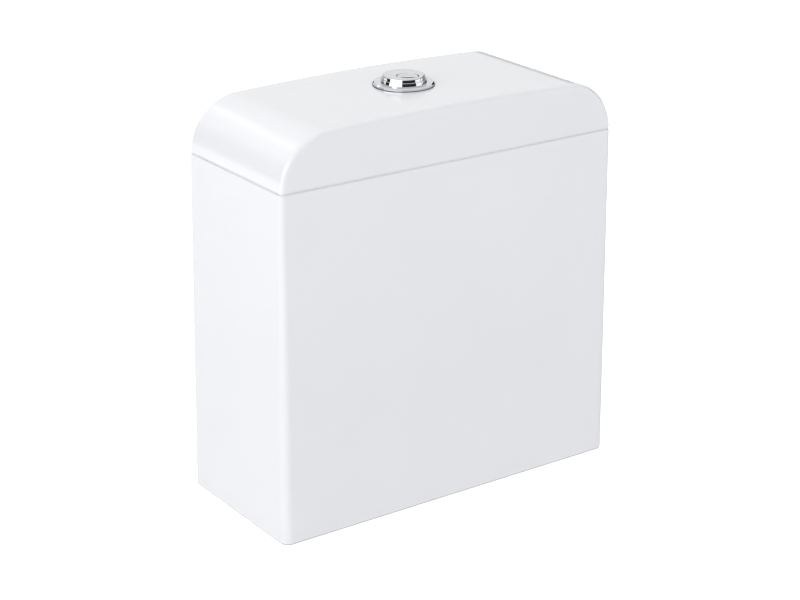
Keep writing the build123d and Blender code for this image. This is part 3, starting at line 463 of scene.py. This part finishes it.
def seen_rays(tree):
    """1 for camera, glossy and transmission rays, 0 for the rays that light surfaces."""
    rays = add(tree, "ShaderNodeLightPath").outputs
    seen = math(tree, "MAXIMUM", rays["Is Camera Ray"], rays["Is Glossy Ray"])
    return math(tree, "MAXIMUM", seen, rays["Is Transmission Ray"])


def dark_room(tree):
    """1 for directions low in the sky, except towards the wall behind the cistern, white above its foot."""
    split = add(tree, "ShaderNodeSeparateXYZ")
    link(tree, add(tree, "ShaderNodeTexCoord").outputs["Generated"], split.inputs[0])
    x, y, z = split.outputs
    low = spread(tree, z, 1, 0, ROOM_TOP - ROOM_SOFTNESS, ROOM_TOP + ROOM_SOFTNESS)
    along = math(tree, "ADD", math(tree, "MULTIPLY", x, sin(WALL_AZIMUTH)),
                 math(tree, "MULTIPLY", y, -cos(WALL_AZIMUTH)))
    wall = spread(tree, along, 0, 1, cos(WALL_HALF_WIDTH) - ROOM_SOFTNESS, cos(WALL_HALF_WIDTH))
    above = spread(tree, z, 0, 1, WALL_LOW - ROOM_SOFTNESS, WALL_LOW + ROOM_SOFTNESS)
    return math(tree, "MULTIPLY", low, math(tree, "SUBTRACT", 1, math(tree, "MULTIPLY", wall, above)))


def make_world():
    """White to the camera, dimmer as a light, and the dark room in reflections."""
    world = bpy.data.worlds.new("studio")
    world.use_nodes = True
    tree = world.node_tree
    tree.nodes.clear()
    glossy = add(tree, "ShaderNodeLightPath").outputs["Is Glossy Ray"]
    room = math(tree, "MULTIPLY", glossy, dark_room(tree))
    level = spread(tree, seen_rays(tree), AMBIENT, BACKGROUND, 0, 1)
    dim = spread(tree, room, 1, ROOM_LEVEL, 0, 1)
    background = add(tree, "ShaderNodeBackground", in_Color=colour(1, 1, 1))
    link(tree, math(tree, "MULTIPLY", level, dim), background.inputs["Strength"])
    output = add(tree, "ShaderNodeOutputWorld")
    link(tree, background.outputs[0], output.inputs["Surface"])
    bpy.context.scene.world = world


def floor_material():
    """Pale paint that takes the shadow, with a glow that only seen rays meet."""
    material, tree = new_material("white_floor")
    x, y, _ = axis_values(tree)
    out = distance(tree, x, y)
    looked_at = spread(tree, out, FLOOR_LIFT, BACKGROUND, FLOOR_NEAR, FLOOR_FAR)
    mirrored = spread(tree, out, 0, BACKGROUND, MIRRORED_NEAR, MIRRORED_FAR)
    from_camera = add(tree, "ShaderNodeLightPath").outputs["Is Camera Ray"]
    glow = add(tree, "ShaderNodeEmission", in_Color=colour(1, 1, 1))
    link(tree, choose(tree, "FLOAT", from_camera, mirrored, looked_at), glow.inputs["Strength"])
    nothing = add(tree, "ShaderNodeEmission", in_Strength=0.0)
    seen = add(tree, "ShaderNodeMixShader")
    link(tree, seen_rays(tree), seen.inputs[0])
    link(tree, nothing.outputs[0], seen.inputs[1])
    link(tree, glow.outputs[0], seen.inputs[2])
    paint = add(tree, "ShaderNodeBsdfDiffuse", in_Color=colour(FLOOR_PAINT, FLOOR_PAINT, FLOOR_PAINT))
    total = add(tree, "ShaderNodeAddShader")
    link(tree, paint.outputs[0], total.inputs[0])
    link(tree, seen.outputs[0], total.inputs[1])
    output = add(tree, "ShaderNodeOutputMaterial")
    link(tree, total.outputs[0], output.inputs["Surface"])
    return material


def make_floor():
    """A wide pale floor, low enough for the fixings that hang under the tank."""
    mesh = bpy.data.meshes.new("floor")
    half, z = FLOOR_SIZE / 2, -FLOOR_DROP
    mesh.from_pydata([(-half, -half, z), (half, -half, z), (half, half, z), (-half, half, z)], [], [(0, 1, 2, 3)])
    mesh.materials.append(floor_material())
    floor = bpy.data.objects.new("floor", mesh)
    bpy.context.scene.collection.objects.link(floor)


def make_camera():
    """The camera at the photograph's angle, aimed at its target."""
    data = bpy.data.cameras.new("camera")
    data.sensor_width = SENSOR_WIDTH
    data.lens = FOCAL_LENGTH
    camera = bpy.data.objects.new("camera", data)
    az, el, roll = CAMERA_AZIMUTH, CAMERA_ELEVATION, CAMERA_ROLL
    back = Vector((sin(az) * cos(el), -cos(az) * cos(el), sin(el)))
    right = (-back).cross(Vector((0, 0, 1))).normalized()
    up = right.cross(-back)
    rolled_right = cos(roll) * right + sin(roll) * up
    rolled_up = cos(roll) * up - sin(roll) * right
    turn = Matrix((rolled_right, rolled_up, back)).transposed().to_4x4()
    camera.matrix_world = Matrix.Translation(CAMERA_TARGET + CAMERA_DISTANCE * back) @ turn
    bpy.context.scene.collection.objects.link(camera)
    bpy.context.scene.camera = camera


make_world()
make_floor()
make_camera()
bpy.context.scene.view_settings.view_transform = "Standard"
